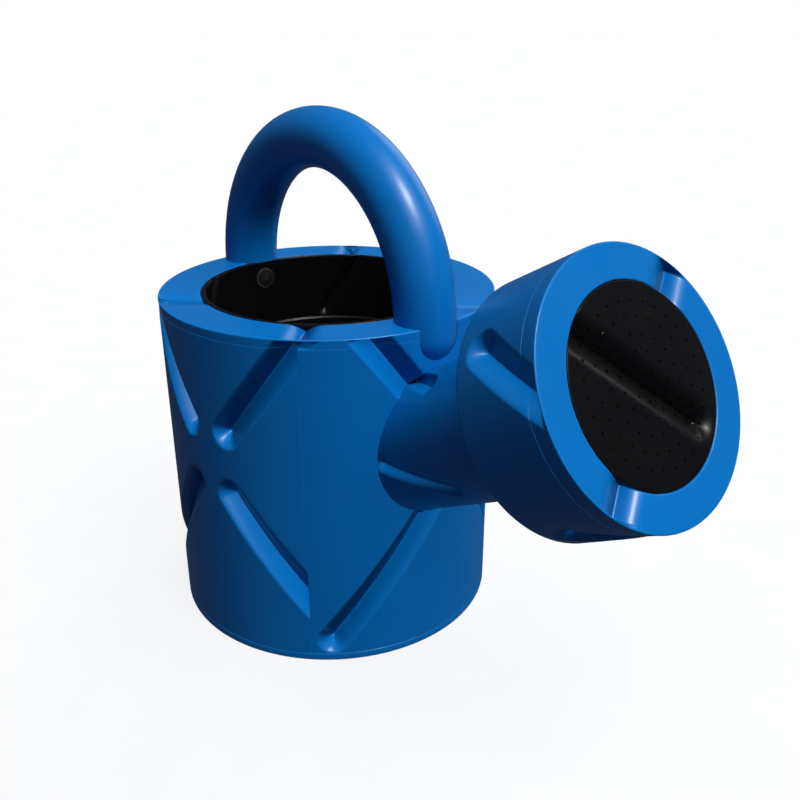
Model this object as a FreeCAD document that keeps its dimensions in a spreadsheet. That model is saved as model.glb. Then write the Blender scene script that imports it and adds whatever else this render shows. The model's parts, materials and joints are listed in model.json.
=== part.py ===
"""Watering can: grooved jacket over a black liner, fixed arched handle, slanted spout, turning rose.

Millimetres, +Z up. The origin is the centre of the flat base, and the spout points along +X.
Parts of the spout and the rose are drawn upright in the rose frame: local Z runs out along the spout,
with its zero at the rose's front face, and local X points down and forward.
"""
import FreeCAD, Part
import math
import os
import re
import Sketcher

V = FreeCAD.Vector
X_AXIS = "create(<<vector>>; 1; 0; 0)"
Y_AXIS = "create(<<vector>>; 0; 1; 0)"
Z_AXIS = "create(<<vector>>; 0; 0; 1)"
QUARTERS = (0, 90, 180, 270)

SIZES = {
    # can
    "body_radius": 100, "body_height": 200, "base_thickness": 5, "panel_wall": 7.5, "panel_gap": 0.1,
    "boss_circle": 87, "boss_radius": 6, "boss_height": 16, "boss_angle": 30, "pilot_radius": 1.6,
    "pilot_depth": 14, "screw_radius": 1.55, "screw_length": 17, "screw_tip": 1.5,
    "screw_head_radius": 4, "screw_head_height": 3, "screw_clearance": 0.25, "head_clearance": 0.2,
    "head_recess": 0.5, "rest_outer": 64, "rest_inner": 60, "rest_height": 8,
    # rim ring and inner liner
    "ring_height": 5, "ring_inner": 75.7, "ring_band": 4, "band_depth": 17, "skirt_outer": 92.2,
    "skirt_wall": 3, "skirt_depth": 8, "seal_depth": 2, "seal_height": 2.4, "seal_drop": 6.6,
    "liner_radius": 75.5, "liner_wall": 3, "liner_step_height": 157, "liner_step": 1.2, "step_slope": 1,
    "liner_bottom_radius": 69, "liner_floor": 3,
    # grooves pressed into the jacket, the rim and the liner
    "groove_half_width": 9.3, "groove_depth": 6, "groove_lead": 806, "cross_angle": 10.5,
    "cross_height": 122.5, "cross_reach": 8.5, "long_arm": 39.5, "short_arm": 29, "run_out": 4,
    "proud": 1, "cap_share": 0.97, "lip": 1.5, "rim_groove_half_width": 11, "rim_groove_depth": 3.4,
    "chord_offset": 37, "seam_angle": 45, "liner_groove_half_width": 5, "liner_groove_depth": 1.6,
    "liner_groove_lead": 666, "liner_groove_angle": 147, "liner_groove_height": 163,
    "liner_groove_turn": 24,
    # handle
    "handle_reach": 88, "handle_radius": 17, "handle_wall": 4.5, "arch_height": 198, "leg_height": 193.5,
    "leg_clearance": 0.2, "leg_room": 0.5, "hollow_height": 204, "bolt_height": 189, "bolt_radius": 2.5,
    "bolt_length": 15, "bolt_head_radius": 5.5, "bolt_head_height": 2, "bolt_dome": 1,
    "washer_height": 1, "washer_radius": 6.5, "insert_radius": 4, "insert_length": 10, "vent_radius": 1.5,
    # spout
    "rose_x": 228, "rose_z": 207, "spout_tilt": 30, "spout_root": 147.8, "spout_root_radius": 37.3,
    "spout_tip_radius": 40.3, "spout_tip": 50.5, "spout_bore": 33, "flange_radius": 43,
    "flange_wall": 2.8, "flange_back": 186, "flange_start": 216, "flange_span": 90, "hole_reach": 45,
    "stub_outer": 32.7, "stub_inner": 30.2, "stub_end": 128, "stub_back": 190, "stub_seal_inner": 31.6,
    "stub_seal_width": 2.5, "stub_seal_place": 136, "spout_groove_radius": 37.8,
    "spout_groove_half_width": 6, "spout_groove_depth": 2.8, "spout_groove_lead": 445,
    "spout_groove_start": 153, "spout_groove_turn": 35, "spout_groove_angle": 2.8,
    # bush and rose
    "bush_radius": 32.95, "bush_bore": 28, "bush_back": 80, "counterbore": 37.05, "counterbore_depth": 3.5,
    "shoulder_radius": 37, "journal_radius": 32, "journal_end": 42.2, "o_ring_inner": 31.4,
    "o_ring_outer": 32.98, "o_ring_width": 2.6, "o_ring_place": 72, "clip_groove": 30.4,
    "clip_outer": 35.5, "clip_width": 1.2, "clip_place": 43.4, "clip_gap": 8, "rose_radius": 63,
    "rose_length": 50, "rose_wall": 6.5, "rose_back": 3, "hub_bore": 32.05, "hub_outer": 39,
    "hub_length": 5.2, "ring_length": 8, "plate_radius": 45.8, "plate_opening": 46,
    "plate_thickness": 5.5, "plate_rim_wall": 1.8, "plate_rim_gap": 0.2, "plate_rim_drop": 1,
    "ledge_radius": 42.5, "thread_outer": 56.4, "thread_inner": 53.5, "thread_length": 6,
    "rose_seal_outer": 58, "rose_seal_height": 2, "drum_groove_half_width": 9.5,
    "drum_groove_depth": 4.5, "drum_groove_lead": 464, "drum_groove_length": 33.5,
    "drum_groove_angle": 55, "face_groove_angle": 136.5, "face_groove_half_width": 13.5,
    "face_groove_depth": 4, "plate_groove_half_width": 11.5, "plate_groove_depth": 3.5,
    "plate_groove_reach": 34, "hole_radius": 0.6, "hole_pitch": 7.4, "hole_rings": 5,
    # all over: play between fitted faces, broken edges, and how far cutting shapes run past a face
    "fit_gap": 0.1, "chamfer": 1, "overshoot": 1,
}

doc = FreeCAD.newDocument("watering_can")
sheet = doc.addObject("Spreadsheet::Sheet", "Sizes")
for row, (alias, value) in enumerate(SIZES.items(), 1):
    sheet.set(f"A{row}", alias)
    sheet.set(f"B{row}", str(value))
    sheet.setAlias(f"B{row}", alias)
doc.recompute()


# ---- helpers: expressions, primitives and booleans

def full(text):
    """Expression text with the sheet's name put before each of its aliases."""
    return re.sub(r"[a-z_]+", lambda word: f"Sizes.{word[0]}" if word[0] in SIZES else word[0], str(text))


def size(alias):
    """The present value of one cell, for geometry that is worked out in code."""
    return float(sheet.get(alias))


def bind(item, **expressions):
    """Bind properties of a document object to expressions on the sheet."""
    for name, text in expressions.items():
        item.setExpression(name, full(text))
    return item


def pose(x=0, y=0, z=0, axis=Z_AXIS, turn=0):
    """Expression for a placement: a turn about an axis, then a move."""
    move = f"create(<<vector>>; {x}; {y}; {z})"
    return f"create(<<placement>>; {move}; create(<<rotation>>; {axis}; {turn}))"


ROSE_FRAME = pose("rose_x", 0, "rose_z", Y_AXIS, "90 - spout_tilt")


def put(item, *poses):
    """Bind an object's Placement to the product of some poses."""
    item.setExpression("Placement", full(" * ".join(poses)))
    return item


def cylinder(radius, length, *poses):
    item = bind(doc.addObject("Part::Cylinder", "Cylinder"), Radius=radius, Height=length)
    return put(item, *poses) if poses else item


def ball(radius, *poses):
    return put(bind(doc.addObject("Part::Sphere", "Sphere"), Radius=radius), *poses)


def cone(low, high, length, *poses):
    return put(bind(doc.addObject("Part::Cone", "Cone"), Radius1=low, Radius2=high, Height=length), *poses)


def box(length, width, height, *poses):
    item = bind(doc.addObject("Part::Box", "Box"), Length=length, Width=width, Height=height)
    return put(item, *poses)


def union(parts):
    item = doc.addObject("Part::MultiFuse", "Union")
    item.Shapes = parts
    return item


def cut(base, *tools):
    """Base with the tools taken away one after another."""
    for tool in tools:
        item = doc.addObject("Part::Cut", "Cut")
        item.Base = base
        item.Tool = tool
        base = item
    return base


def grouped(parts, *poses):
    """Separate solids held as one object, placed again as a whole."""
    item = doc.addObject("Part::Compound", "Group")
    item.Links = parts
    return put(item, *poses) if poses else item


def common(first, second):
    item = doc.addObject("Part::MultiCommon", "Common")
    item.Shapes = [first, second]
    return item


# ---- helpers: sketches and bodies

def outline(sketch, points):
    """Closed polygon in a sketch, each corner driven by two distances from the origin."""
    count = len(points)
    turns = [2 * math.pi * k / count for k in range(count)]
    corners = [V(math.cos(turn), math.sin(turn), 0) for turn in turns]
    first = sketch.GeometryCount
    lines = [Part.LineSegment(corners[k], corners[(k + 1) % count]) for k in range(count)]
    sketch.addGeometry(lines, False)
    for k in range(count):
        sketch.addConstraint(Sketcher.Constraint("Coincident", first + k, 2, first + (k + 1) % count, 1))
    for k, corner in enumerate(points):
        for kind, text in zip(("DistanceX", "DistanceY"), corner):
            place = sketch.addConstraint(Sketcher.Constraint(kind, -1, 1, first + k, 1, 1.0))
            sketch.setExpression(f"Constraints[{place}]", full(text))


def sketch_on(body, role):
    """Empty sketch on one of a body's own origin planes."""
    plane = next(item for item in body.Origin.OriginFeatures if item.Role == role)
    sketch = body.newObject("Sketcher::SketchObject", "Sketch")
    sketch.AttachmentSupport = [(plane, "")]
    sketch.MapMode = "FlatFace"
    return sketch


def turned(*outlines, angle=360):
    """Body turned about Z from outlines in radius and height."""
    body = doc.addObject("PartDesign::Body", "Turned")
    for points in outlines:
        sketch = sketch_on(body, "XZ_Plane")
        outline(sketch, points)
        turn = body.newObject("PartDesign::Revolution", "Revolution")
        turn.Profile = sketch
        turn.ReferenceAxis = (sketch, ["V_Axis"])
        turn.setExpression("Angle", full(angle))
    return body


def band(inner, outer, low, high):
    """Outline of a square-edged ring."""
    return [(inner, low), (outer, low), (outer, high), (inner, high)]


def v_section(half_width, depth, top):
    """V outline that opens outwards along local X, its valley 'depth' below 'top'."""
    sketch = doc.addObject("Sketcher::SketchObject", "Section")
    mouth = f"({half_width}) * (({depth}) + proud) / ({depth})"
    outer = f"({top}) + proud"
    outline(sketch, [(f"({top}) - ({depth})", 0), (outer, mouth), (outer, f"-({mouth})")])
    return sketch


def straight_groove(half_width, depth, top, start, length, *poses):
    """V groove cut down into a face at height 'top', running along local X."""
    section = v_section(half_width, depth, top)
    groove = bind(doc.addObject("Part::Extrusion", "Groove"), LengthFwd=length)
    groove.Base = section
    groove.DirMode = "Normal"
    groove.Solid = True
    # the section's local X becomes up, its normal becomes local X
    upright = f"{pose(start, 0, 0)} * {pose(axis=Y_AXIS, turn=-90)} * {pose(axis=X_AXIS, turn=180)}"
    return put(groove, *poses, upright)


def winding_groove(radius, half_width, depth, lead, angle, height, turn, left=False, caps=(True, True),
                   inward=1):
    """Cutting shapes of a V groove that climbs round a cylinder through 'turn' degrees, with rounded ends.

    'inward' is -1 for a groove in the inside of a wall. The end cones lie just inside the V's flanks.
    """
    hand = -1 if left else 1
    helix = doc.addObject("Part::Helix", "Helix")
    bind(helix, Pitch=lead, Radius=radius, Height=f"({lead}) * ({turn}) / 360")
    helix.LocalCoord = 1 if left else 0
    slope = f"atan(({lead}) / (2 * pi * ({radius}))) / 1 deg"
    section = v_section(half_width, f"({depth})", radius if inward == 1 else f"-({radius})")
    facing = "" if inward == 1 else f" * {pose(axis=Z_AXIS, turn=180)}"
    put(section, f"{pose(axis=X_AXIS, turn=f'90 + ({hand}) * ({slope})')}{facing}")
    sweep = doc.addObject("Part::Sweep", "Sweep")
    sweep.Sections = [section]
    sweep.Spine = (helix, [])
    sweep.Solid = True
    sweep.Frenet = True
    put(sweep, pose(z=height, turn=angle))
    pieces = [sweep]
    cap_depth = f"({depth}) * cap_share"
    mouth = f"({half_width}) * ({cap_depth} + proud) / ({depth})"
    for at_end, wanted in enumerate(caps):
        if not wanted:
            continue
        where = pose(z=f"({height}) + {at_end} * ({lead}) * ({turn}) / 360",
                     turn=f"({angle}) + {hand * at_end} * ({turn})")
        facing = pose(x=f"({radius}) - ({inward}) * {cap_depth}", axis=Y_AXIS, turn=90 * inward)
        pieces.append(cone(0, mouth, f"{cap_depth} + proud", where, facing))
    return pieces


NODES = []


def node(name, item, *poses):
    """Name a finished sub-part and give it its place."""
    item.Label = name
    if poses:
        put(item, *poses)
    NODES.append(item)
    return item


# ---- shared cutting shapes of the can

CROSS_RISE = "cross_reach * groove_lead / 360"
ARM = ("body_radius", "groove_half_width", "groove_depth", "groove_lead")


def upper_arms():
    """The two upper arms of one panel's broken cross, which run out over the rim.

    Angles on a panel are counted from its middle.
    """
    start = f"cross_height + {CROSS_RISE}"
    turn = f"(body_height - ({start})) * 360 / groove_lead + run_out"
    right = winding_groove(*ARM, "cross_angle + cross_reach", start, turn, caps=(True, False))
    left = winding_groove(*ARM, "cross_angle - cross_reach", start, turn, left=True, caps=(True, False))
    return right, left


def lower_arms():
    """The long left arm and the right arm that the panel's edge cuts short."""
    start = f"cross_height - {CROSS_RISE}"
    left = winding_groove(*ARM, "cross_angle - cross_reach - long_arm",
                          f"{start} - long_arm * groove_lead / 360", "long_arm")
    right = winding_groove(*ARM, "cross_angle + cross_reach + short_arm",
                           f"{start} - short_arm * groove_lead / 360", "short_arm", left=True,
                           caps=(False, True))
    return left, right


def leg_shape(extra=0):
    """Straight lower end of one handle leg with its rounded bottom, at +X."""
    radius = f"handle_radius + ({extra})"
    return union([
        cylinder(radius, "body_height", pose("handle_reach", 0, "leg_height")),
        ball(radius, pose("handle_reach", 0, "leg_height")),
    ])


def kept_inside(item, radius, low, height, *poses):
    """The part of a cutting shape that lies inside an upright cylinder."""
    return common(item, cylinder(radius, height, *poses, pose(z=low)))


def around(angle, item):
    """An object turned about Z, leaving the first one where it is."""
    return grouped([item], pose(turn=angle))


UPPER_ARMS = upper_arms()
LOWER_ARMS = lower_arms()
LEG_SOCKET = leg_shape("leg_clearance")
SEAL_OUTER = "ring_inner + seal_depth"
SEAL_LOW = "body_height - seal_drop"
SEAL_HIGH = f"{SEAL_LOW} + seal_height"
BAND_OUTER = "ring_inner + ring_band"
SPOUT_SLOPE = "(spout_tip_radius - spout_root_radius) / (spout_root - spout_tip)"


# ---- the can

def make_base():
    plate = turned(
        band("0", "body_radius", "0", "base_thickness"),
        band("rest_inner", "rest_outer", "base_thickness", "base_thickness + rest_height"),
    )
    bores = []
    for quarter in QUARTERS:
        for side in (-1, 1):
            spot = pose(turn=f"{quarter} + {side} * boss_angle")
            below = pose("boss_circle", 0, "-overshoot")
            bores.append(cylinder("screw_radius + screw_clearance", "base_thickness + 2 * overshoot",
                                  spot, below))
            bores.append(cylinder("screw_head_radius + head_clearance",
                                  "overshoot + head_recess + screw_head_height", spot, below))
    node("base_plate", cut(plate, *bores))


def make_base_screws():
    screws = []
    low = "head_recess"
    neck = "head_recess + screw_head_height"
    for quarter in QUARTERS:
        for side in (-1, 1):
            screw = turned([
                ("0", low), ("screw_head_radius", low), ("screw_head_radius", neck),
                ("screw_radius", neck), ("screw_radius", "screw_length"), ("0", "screw_length + screw_tip"),
            ])
            screws.append(put(screw, pose(turn=f"{quarter} + {side} * boss_angle"), pose("boss_circle")))
    node("base_screws", grouped(screws))


def make_panels():
    outer = "body_radius"
    inner = "body_radius - panel_wall"
    top = "body_height - ring_height"
    pilots = [
        cylinder("pilot_radius", "pilot_depth + overshoot", pose(turn=f"{side} * boss_angle"),
                 pose("boss_circle", 0, "base_thickness - overshoot"))
        for side in (-1, 1)
    ]
    hole_radius = "spout_root_radius + fit_gap"
    widening = f"hole_reach * {SPOUT_SLOPE}"
    spout_hole = cone(f"{hole_radius} - {widening}", f"{hole_radius} + {widening}", "2 * hole_reach",
                      ROSE_FRAME, pose(z="-spout_root - hole_reach"))
    cutters = {
        "front": (0, [LEG_SOCKET, spout_hole]), "left": (90, []),
        "rear": (180, [LEG_SOCKET]), "right": (270, []),
    }
    for side, (angle, extra) in cutters.items():
        blank = turned(band(inner, outer, "base_thickness", top), angle="90 - panel_gap")
        put(blank, pose(turn="panel_gap / 2 - 45"))
        bosses = [
            cylinder("boss_radius", "boss_height", pose(turn=f"{end} * boss_angle"),
                     pose("boss_circle", 0, "base_thickness"))
            for end in (-1, 1)
        ]
        grooves = [piece for arm in (*UPPER_ARMS, *LOWER_ARMS) for piece in arm]
        panel = cut(union([blank, *bosses]), *grooves, *pilots, *extra)
        node(f"shell_panel_{side}", panel, pose(turn=angle))


def bolt_holes():
    """Bores for the handle's two bolts, from the can's axis outwards."""
    return [
        cylinder("bolt_radius + fit_gap", "body_radius", pose(turn=angle),
                 pose(z="bolt_height", axis=Y_AXIS, turn=90))
        for angle in (0, 180)
    ]


def make_rim_ring():
    low = "body_height - ring_height"
    ring = turned(
        band("ring_inner", "body_radius", low, "body_height"),
        band("ring_inner", BAND_OUTER, "body_height - band_depth", low),
        band("skirt_outer - skirt_wall", "skirt_outer", f"{low} - skirt_depth", low),
    )
    seal_seat = turned(band("ring_inner - overshoot", SEAL_OUTER, SEAL_LOW, SEAL_HIGH))
    inner_band = turned(band("0", BAND_OUTER, "0", "3 * body_height"))
    socket = cut(LEG_SOCKET, inner_band)
    look = ("rim_groove_half_width", "rim_groove_depth", "body_height", "-2 * body_radius", "4 * body_radius")
    across = straight_groove(*look, pose(turn="-seam_angle"))
    chord = straight_groove(*look, pose(turn="-seam_angle"), pose(x="chord_offset"), pose(turn=90))
    tools = [seal_seat, socket, around(180, socket)]
    tools += [kept_inside(groove, "body_radius - lip", "0", "2 * body_height") for groove in (across, chord)]
    below_lip = [kept_inside(arm[0], "2 * body_radius", "0", "body_height - lip") for arm in UPPER_ARMS]
    tools += [around(angle, arm) for angle in QUARTERS for arm in below_lip]
    node("rim_ring", cut(ring, *tools, *bolt_holes()))


def make_rim_seal():
    node("rim_seal", turned(band("liner_radius", SEAL_OUTER, SEAL_LOW, SEAL_HIGH)))


def make_liner():
    low = "base_thickness + rest_height"
    wall = "liner_wall"
    step = "liner_step_height"
    foot = "liner_bottom_radius"
    liner = turned([
        ("0", low), (foot, low), ("liner_radius - liner_step", f"{step} - 2 * step_slope"),
        ("liner_radius", f"{step} - step_slope"), ("liner_radius", "body_height"),
        (f"liner_radius - {wall}", "body_height"), (f"liner_radius - {wall}", step),
        (f"liner_radius - {wall} - liner_step", f"{step} - step_slope"),
        (f"{foot} - {wall}", f"{low} + liner_floor"), ("0", f"{low} + liner_floor"),
    ])
    outlet = cylinder("stub_outer", "stub_back - stub_end", ROSE_FRAME, pose(z="-stub_back"))
    grooves = []
    for quarter in QUARTERS:
        grooves += winding_groove("liner_radius - liner_wall", "liner_groove_half_width",
                                  "liner_groove_depth", "liner_groove_lead",
                                  f"liner_groove_angle + {quarter}", "liner_groove_height",
                                  "liner_groove_turn", left=True, caps=(True, False), inward=-1)
    node("inner_liner", cut(liner, outlet, *grooves, *bolt_holes()))


def make_outlet():
    """Slanted tube bonded into the liner's wall, with a groove for the seal inside the spout."""
    low = "-stub_seal_place"
    high = "-stub_seal_place + stub_seal_width"
    tube = turned([
        ("stub_inner", "-stub_back"), ("stub_outer", "-stub_back"), ("stub_outer", low),
        ("stub_seal_inner", low), ("stub_seal_inner", high), ("stub_outer", high),
        ("stub_outer", "-stub_end"), ("stub_inner", "-stub_end"),
    ])
    foot = "liner_bottom_radius - liner_wall"
    neck = "liner_radius - liner_wall - liner_step"
    inside = turned([
        ("0", "0"), (foot, "0"), (foot, "base_thickness + rest_height + liner_floor"),
        (neck, "liner_step_height - step_slope"), (neck, "2 * body_height"), ("0", "2 * body_height"),
    ])
    node("outlet_stub", cut(put(tube, ROSE_FRAME), inside))


def make_handle():
    """Half-ring arch on two straight legs that end in rounded bottoms, hollow above the rim."""
    legs = []
    hollows = []
    for angle in (0, 180):
        side = pose(turn=angle)
        foot = pose("handle_reach", 0, "leg_height")
        legs.append(cylinder("handle_radius", "arch_height - leg_height", side, foot))
        legs.append(ball("handle_radius", side, foot))
        hollows.append(cylinder("vent_radius", "hollow_height - bolt_height + overshoot", side,
                                pose("handle_reach", 0, "bolt_height")))
        hollows.append(cylinder("insert_radius", "insert_length + overshoot", side,
                                pose(f"{BAND_OUTER} - overshoot / 2", 0, "bolt_height", Y_AXIS, 90)))
    arches = []
    for radius in ("handle_radius", "handle_radius - handle_wall"):
        arch = doc.addObject("Part::Torus", "Arch")
        bind(arch, Radius1="handle_reach", Radius2=radius, Angle3="180")
        arches.append(put(arch, pose(0, 0, "arch_height", X_AXIS, 90)))
    below = box("3 * body_radius", "body_radius", "hollow_height",
                pose("-1.5 * body_radius", "-body_radius / 2", "0"))
    core = cut(arches[1], below)
    inside = cylinder(f"{BAND_OUTER} + fit_gap", "body_height + fit_gap")
    node("handle_tube", cut(union([arches[0], *legs]), core, inside, *hollows))


def make_handle_fixings():
    bolts = []
    washers = []
    inserts = []
    face = "liner_radius - liner_wall"
    for angle in (0, 180):
        spot = (pose(turn=angle), pose(0, 0, "bolt_height", Y_AXIS, 90))
        head = f"{face} - washer_height"
        tip = f"{head} + bolt_length"
        crown = f"{head} - bolt_head_height"
        bolts.append(put(turned([
            ("0", crown), ("bolt_head_radius", f"{crown} + bolt_dome"), ("bolt_head_radius", head),
            ("bolt_radius", head), ("bolt_radius", tip), ("0", tip),
        ]), *spot))
        washers.append(put(turned(band("bolt_radius + fit_gap", "washer_radius", head, face)), *spot))
        start = f"{BAND_OUTER} + fit_gap"
        insert = turned(band("bolt_radius", "insert_radius", start, f"{start} + insert_length"))
        inserts.append(put(insert, *spot))
    curve = cylinder(face, "body_height")
    node("handle_bolts", grouped(bolts))
    node("handle_inserts", grouped(inserts))
    node("bolt_washers", common(union(washers), curve))


# ---- the spout

def make_spout():
    root = f"spout_root_radius - (flange_back - spout_root) * {SPOUT_SLOPE}"
    tube = turned([
        ("spout_bore", "-flange_back"), (root, "-flange_back"), ("spout_tip_radius", "-spout_tip"),
        ("counterbore", "-spout_tip"), ("counterbore", "-spout_tip - counterbore_depth"),
        ("spout_bore", "-spout_tip - counterbore_depth"),
    ])
    grooves = []
    for quarter in QUARTERS:
        pieces = winding_groove("spout_groove_radius", "spout_groove_half_width", "spout_groove_depth",
                                "spout_groove_lead", f"spout_groove_angle + {quarter}", "-spout_groove_start",
                                "spout_groove_turn", caps=(False, True))
        grooves += [grouped([piece], ROSE_FRAME) for piece in pieces]
    put(tube, ROSE_FRAME)
    inner = "body_radius - panel_wall - fit_gap"
    shell = turned(band(f"{inner} - flange_wall", inner, "20", "body_height - band_depth"))
    flange = common(shell, cylinder("flange_radius", "flange_span", ROSE_FRAME, pose(z="-flange_start")))
    core = cylinder(f"{inner} - flange_wall", "body_height")
    bore = cylinder("spout_bore", "flange_span", ROSE_FRAME, pose(z="-flange_start"))
    node("spout_tube", cut(union([tube, flange]), core, bore, leg_shape("leg_room"), *grooves))


def make_spout_seal():
    low = "-stub_seal_place"
    seal = turned(band("stub_seal_inner", "spout_bore", low, f"{low} + stub_seal_width"))
    node("spout_seal", seal, ROSE_FRAME)


# ---- the rose

def make_bush():
    back = "-bush_back"
    tip = "-spout_tip"
    floor = "-spout_tip - counterbore_depth + fit_gap"
    seat = ("-o_ring_place", "-o_ring_place + o_ring_width")
    clip = ("-clip_place - clip_width - fit_gap / 2", "-clip_place + fit_gap / 2")
    node("rose_bush", turned([
        ("bush_bore", back), ("bush_radius - chamfer", back), ("bush_radius", f"{back} + chamfer"),
        ("bush_radius", seat[0]), ("o_ring_inner", seat[0]), ("o_ring_inner", seat[1]),
        ("bush_radius", seat[1]), ("bush_radius", floor), ("shoulder_radius", floor),
        ("shoulder_radius", tip), ("journal_radius", tip), ("journal_radius", clip[0]),
        ("clip_groove", clip[0]), ("clip_groove", clip[1]), ("journal_radius", clip[1]),
        ("journal_radius", "-journal_end"), ("bush_bore", "-journal_end"),
    ]), ROSE_FRAME)


def make_bush_rings():
    low = "-o_ring_place"
    o_ring = turned(band("o_ring_inner", "o_ring_outer", low, f"{low} + o_ring_width"))
    node("rose_o_ring", o_ring, ROSE_FRAME)
    clip = turned(band("clip_groove", "clip_outer", "-clip_place - clip_width", "-clip_place"))
    gap = box("2 * clip_outer", "clip_gap", "3 * clip_width",
              pose(0, "-clip_gap / 2", "-clip_place - 2 * clip_width"))
    node("rose_clip", cut(clip, gap), ROSE_FRAME)


def drum_grooves():
    """Four slanted grooves round the drum, each stopped by a thin lip at its front edge."""
    pieces = []
    for quarter in QUARTERS:
        pieces += winding_groove("rose_radius", "drum_groove_half_width", "drum_groove_depth",
                                 "drum_groove_lead", f"drum_groove_angle + {quarter}", "-drum_groove_length",
                                 "drum_groove_length * 360 / drum_groove_lead + run_out", caps=(True, False))
    span = ("-2 * rose_length", "2 * rose_length - lip")
    return [kept_inside(piece, "2 * rose_radius", *span) for piece in pieces]


DRUM_GROOVES = drum_grooves()


def make_rose_shell():
    back = "-rose_length"
    front = "-ring_length"
    rebate = f"{front} - rose_seal_height"
    inner = "rose_radius - rose_wall"
    drum = turned([
        ("hub_bore", back), ("rose_radius - chamfer", back), ("rose_radius", f"{back} + chamfer"),
        ("rose_radius", front), ("rose_seal_outer", front), ("rose_seal_outer", rebate), (inner, rebate),
        (inner, f"{back} + rose_back"),
        ("hub_outer", f"{back} + rose_back"), ("hub_outer", f"{back} + hub_length"),
        ("hub_bore", f"{back} + hub_length"),
    ])
    node("rose_shell", cut(drum, *DRUM_GROOVES), ROSE_FRAME)


def make_rose_ring():
    front = "-ring_length"
    ring = turned([
        ("thread_inner", f"{front} - thread_length"), ("thread_outer", f"{front} - thread_length"),
        ("thread_outer", front), ("rose_radius", front), ("rose_radius", "0"), ("plate_opening", "0"),
        ("plate_opening", "-plate_thickness"), ("ledge_radius", "-plate_thickness"), ("ledge_radius", front),
        ("thread_inner", front),
    ])
    channel = straight_groove("face_groove_half_width", "face_groove_depth", "0", "-2 * rose_radius",
                              "4 * rose_radius", pose(turn="face_groove_angle"))
    channel = kept_inside(channel, "rose_radius - lip", "-rose_length", "2 * rose_length")
    node("rose_ring", cut(ring, *DRUM_GROOVES, channel), ROSE_FRAME)


def make_rose_seal():
    """Ring in the drum's rebate, round the root of the front ring's thread."""
    front = "-ring_length"
    seal = turned(band("thread_outer + fit_gap", "rose_seal_outer", f"{front} - rose_seal_height", front))
    node("rose_seal", seal, ROSE_FRAME)


def make_rose_plate():
    rim = "ledge_radius - plate_rim_gap"
    plate = turned(
        band("0", "plate_radius", "-plate_thickness", "0"),
        band(f"{rim} - plate_rim_wall", rim, "-ring_length - plate_rim_drop", "-plate_thickness"),
    )
    along = pose(turn="face_groove_angle - 90")
    channel = straight_groove("plate_groove_half_width", "plate_groove_depth", "0", "-2 * plate_radius",
                              "2 * plate_radius + plate_groove_reach", along)
    cap_depth = "plate_groove_depth * cap_share"
    cap_mouth = f"plate_groove_half_width * ({cap_depth} + proud) / plate_groove_depth"
    cap = cone(0, cap_mouth, f"{cap_depth} + proud", along, pose("plate_groove_reach", 0, f"-{cap_depth}"))
    bore = ("hole_radius", "plate_thickness + 2 * overshoot")
    below = "-plate_thickness - overshoot"
    holes = [cylinder(*bore, pose(z=below))]
    for ring in range(1, int(size("hole_rings")) + 1):
        for step in range(6 * ring):
            spot = (pose(turn=f"{step} * 60 / {ring}"), pose(f"{ring} * hole_pitch", 0, below))
            holes.append(cylinder(*bore, *spot))
    node("rose_plate", cut(plate, channel, cap, grouped(holes)), ROSE_FRAME)


make_base()
make_base_screws()
make_panels()
make_rim_ring()
make_rim_seal()
make_liner()
make_outlet()
make_handle()
make_handle_fixings()
make_spout()
make_spout_seal()
make_bush()
make_bush_rings()
make_rose_shell()
make_rose_ring()
make_rose_seal()
make_rose_plate()
doc.recompute()

# ---- check and write

for item in doc.Objects:
    if "Invalid" in item.State or "Error" in item.State:
        raise RuntimeError(f"{item.Label} ({item.TypeId}) failed: {item.State}")
os.makedirs("parts", exist_ok=True)
for item in NODES:
    if item.Shape.isNull() or not item.Shape.isValid():
        raise RuntimeError(f"{item.Label} has no valid shape")
    item.Shape.exportStep(f"parts/{item.Label}.step")
    print(item.Label, len(item.Shape.Solids), "solids", round(item.Shape.Volume / 1000, 2), "cm3")
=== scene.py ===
"""Watering can: soft-edged moulded shells, materials and stage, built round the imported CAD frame."""
import json
import math

import bpy
import numpy as np
from mathutils import Matrix, Vector


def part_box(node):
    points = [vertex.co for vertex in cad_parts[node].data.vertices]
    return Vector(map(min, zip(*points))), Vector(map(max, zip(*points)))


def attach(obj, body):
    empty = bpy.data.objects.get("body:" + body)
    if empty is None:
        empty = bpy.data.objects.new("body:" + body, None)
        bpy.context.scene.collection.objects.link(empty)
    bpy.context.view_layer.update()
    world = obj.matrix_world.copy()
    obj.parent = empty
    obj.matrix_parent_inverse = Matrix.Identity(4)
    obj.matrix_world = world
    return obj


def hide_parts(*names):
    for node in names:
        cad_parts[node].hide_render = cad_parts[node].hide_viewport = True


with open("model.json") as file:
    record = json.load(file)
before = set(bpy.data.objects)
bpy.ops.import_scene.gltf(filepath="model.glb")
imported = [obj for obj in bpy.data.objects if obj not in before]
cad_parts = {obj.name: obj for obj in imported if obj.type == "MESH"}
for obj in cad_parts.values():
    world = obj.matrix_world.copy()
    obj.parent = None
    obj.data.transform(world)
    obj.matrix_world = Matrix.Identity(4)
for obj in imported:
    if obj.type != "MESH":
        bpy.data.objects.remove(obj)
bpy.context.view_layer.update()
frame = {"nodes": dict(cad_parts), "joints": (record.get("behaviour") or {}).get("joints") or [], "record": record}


MM = 0.001

# ---- sizes in millimetres, read from the frame where the frame holds them


def corner(node, high, axis):
    """One coordinate of a CAD node's box, in millimetres."""
    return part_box(node)[1 if high else 0][axis] / MM


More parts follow.
